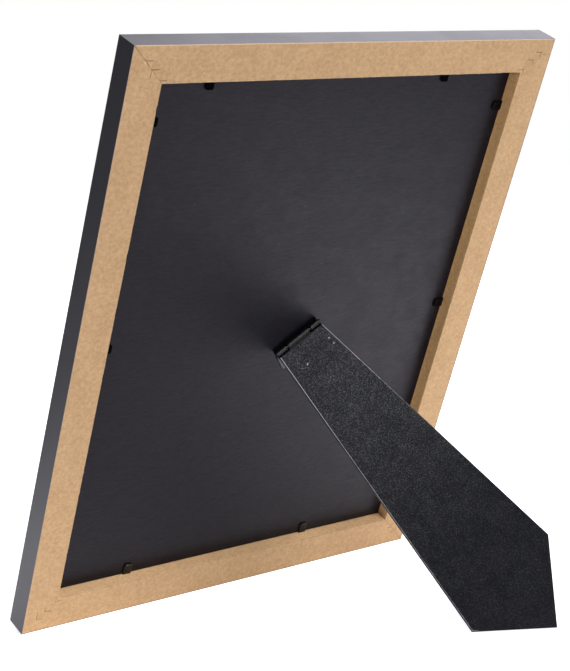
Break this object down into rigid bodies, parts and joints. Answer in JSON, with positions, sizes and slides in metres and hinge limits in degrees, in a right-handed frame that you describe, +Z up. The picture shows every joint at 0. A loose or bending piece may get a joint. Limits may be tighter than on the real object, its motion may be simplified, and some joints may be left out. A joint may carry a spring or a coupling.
{
  "type": "easel back photo frame",
  "caption": "Tabletop picture frame with a wrapped mitred moulding, glass, a backing held by bendable points, and a hinged tapered strut that props it upright or sideways.",
  "frame": {"origin": "on the surface that the frame stands on, under the middle of its bounding box", "axes": "+Z up, -Y towards the viewer of the picture, +Y towards the strut, +X across; left and right are as seen from the front"},
  "size_m": [0.3286, 0.2416, 0.3771],
  "materials": {
    "raw_fibreboard": "raw sawn and sanded fibreboard, unfinished",
    "charcoal_foil": "dark charcoal wrapping foil, satin",
    "nail_steel": "bright strip",
    "clear_glass": "clear float glass",
    "print_paper": "bare white sheet",
    "backing_greyboard": "grey pressed board",
    "black_backing_paper": "black kraft paper, matt",
    "black_point_steel": "blackened thin steel strip",
    "black_hinge_steel": "black lacquered sheet steel",
    "clinch_steel": "drawn steel, dull",
    "strut_greyboard": "grey pressed board",
    "black_lining_paper": "black paper, matt",
    "black_leatherette": "fine grained leatherette paper"
  },
  "bodies": {
    "root": {"top_rail": "raw_fibreboard", "bottom_rail": "raw_fibreboard", "left_rail": "raw_fibreboard", "right_rail": "raw_fibreboard", "top_foil": "charcoal_foil", "bottom_foil": "charcoal_foil", "left_foil": "charcoal_foil", "right_foil": "charcoal_foil", "top_left_v_nails": "nail_steel", "top_right_v_nails": "nail_steel", "bottom_left_v_nails": "nail_steel", "bottom_right_v_nails": "nail_steel", "glazing": "clear_glass", "picture_sheet": "print_paper", "backing_board": "backing_greyboard", "backing_paper": "black_backing_paper", "point_blades": "black_point_steel", "hinge_board_leaf": "black_hinge_steel", "board_rivets": "black_hinge_steel", "hinge_pin": "black_hinge_steel"},
    "strut": {"strut_board": "strut_greyboard", "strut_lining": "black_lining_paper", "strut_cover": "black_leatherette", "hinge_strut_leaf": "black_hinge_steel", "strut_clinches": "clinch_steel"},
    "top_point_1": {"top_point_1": "black_point_steel"},
    "top_point_2": {"top_point_2": "black_point_steel"},
    "bottom_point_1": {"bottom_point_1": "black_point_steel"},
    "bottom_point_2": {"bottom_point_2": "black_point_steel"},
    "left_point_1": {"left_point_1": "black_point_steel"},
    "left_point_2": {"left_point_2": "black_point_steel"},
    "right_point_1": {"right_point_1": "black_point_steel"},
    "right_point_2": {"right_point_2": "black_point_steel"}
  },
  "joints": [
    {"name": "strut_hinge", "type": "hinge", "parent": "root", "child": "strut", "pos_m": [-0.0121, -0.03166, 0.18086], "axis": [0.7965, -0.2429, -0.5536], "range_deg": [-55.3, 0]},
    {"name": "top_point_1_bend", "type": "hinge", "parent": "root", "child": "top_point_1", "pos_m": [0.10187, 0.03984, 0.35239], "axis": [1, 0, 0], "range_deg": [0, 75]},
    {"name": "top_point_2_bend", "type": "hinge", "parent": "root", "child": "top_point_2", "pos_m": [-0.08215, 0.03984, 0.35239], "axis": [1, 0, 0], "range_deg": [0, 75]},
    {"name": "bottom_point_1_bend", "type": "hinge", "parent": "root", "child": "bottom_point_1", "pos_m": [-0.06671, -0.10385, 0.02493], "axis": [-1, 0, 0], "range_deg": [0, 75]},
    {"name": "bottom_point_2_bend", "type": "hinge", "parent": "root", "child": "bottom_point_2", "pos_m": [0.08379, -0.10385, 0.02493], "axis": [-1, 0, 0], "range_deg": [0, 75]},
    {"name": "left_point_1_bend", "type": "hinge", "parent": "root", "child": "left_point_1", "pos_m": [-0.1407, 0.02932, 0.3284], "axis": [0, 0.4018, 0.9157], "range_deg": [0, 75]},
    {"name": "left_point_2_bend", "type": "hinge", "parent": "root", "child": "left_point_2", "pos_m": [-0.1407, -0.0307, 0.19162], "axis": [0, 0.4018, 0.9157], "range_deg": [0, 75]},
    {"name": "right_point_1_bend", "type": "hinge", "parent": "root", "child": "right_point_1", "pos_m": [0.1407, -0.0307, 0.19162], "axis": [0, -0.4018, -0.9157], "range_deg": [0, 75]},
    {"name": "right_point_2_bend", "type": "hinge", "parent": "root", "child": "right_point_2", "pos_m": [0.1407, 0.02932, 0.3284], "axis": [0, -0.4018, -0.9157], "range_deg": [0, 75]}
  ]
}
